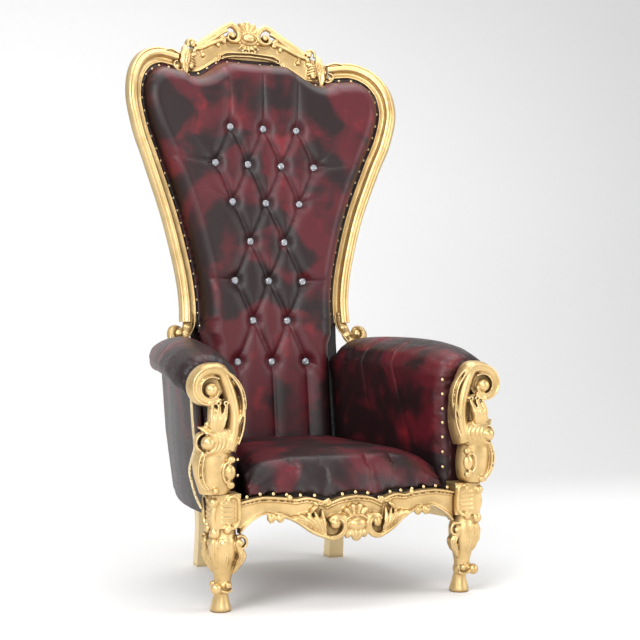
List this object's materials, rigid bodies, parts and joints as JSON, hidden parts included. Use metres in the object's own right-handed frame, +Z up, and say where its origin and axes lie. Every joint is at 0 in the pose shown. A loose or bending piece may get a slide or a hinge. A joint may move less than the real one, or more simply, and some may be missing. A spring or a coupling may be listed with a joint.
{
  "type": "throne chair",
  "caption": "Tall throne chair with a carved gilded frame, high deep-buttoned leather back, rolled arms and a crowned seat.",
  "frame": {"origin": "middle of the footprint, on the floor", "axes": "+Z up; -Y is the way the sitter looks; +X is the sitter's left"},
  "size_m": [0.939, 0.9962, 1.8],
  "materials": {
    "gilded_wood": "warm gold leaf and bronze paint over carving, satin to bright on the high places, darker in the hollows",
    "leather": "two-tone oxblood leather, burgundy rubbed over near-black brown, satin",
    "crystal": "clear faceted crystal",
    "lining": "black dust cover cloth, matt",
    "nails": "polished domed nail heads"
  },
  "bodies": {
    "root": {"back_stile_left": "gilded_wood", "back_stile_right": "gilded_wood", "crest_rail": "gilded_wood", "front_rail": "gilded_wood", "front_leg_left": "gilded_wood", "front_leg_right": "gilded_wood", "arm_post_left": "gilded_wood", "arm_post_right": "gilded_wood", "side_rail_left": "gilded_wood", "side_rail_right": "gilded_wood", "back_rail": "gilded_wood", "rear_leg_left": "gilded_wood", "rear_leg_right": "gilded_wood", "inside_back": "leather", "outside_back": "leather", "arm_pad_left": "leather", "arm_pad_right": "leather", "arm_outside_left": "leather", "arm_outside_right": "leather", "seat": "leather", "button_1_1": "crystal", "button_1_2": "crystal", "button_1_3": "crystal", "button_2_1": "crystal", "button_2_2": "crystal", "button_2_3": "crystal", "button_2_4": "crystal", "button_3_1": "crystal", "button_3_2": "crystal", "button_3_3": "crystal", "button_4_1": "crystal", "button_4_2": "crystal", "button_5_1": "crystal", "button_5_2": "crystal", "button_5_3": "crystal", "button_6_1": "crystal", "button_6_2": "crystal", "button_7_1": "crystal", "button_7_2": "crystal", "button_7_3": "crystal", "underside_board": "lining"}
  },
  "joints": []
}
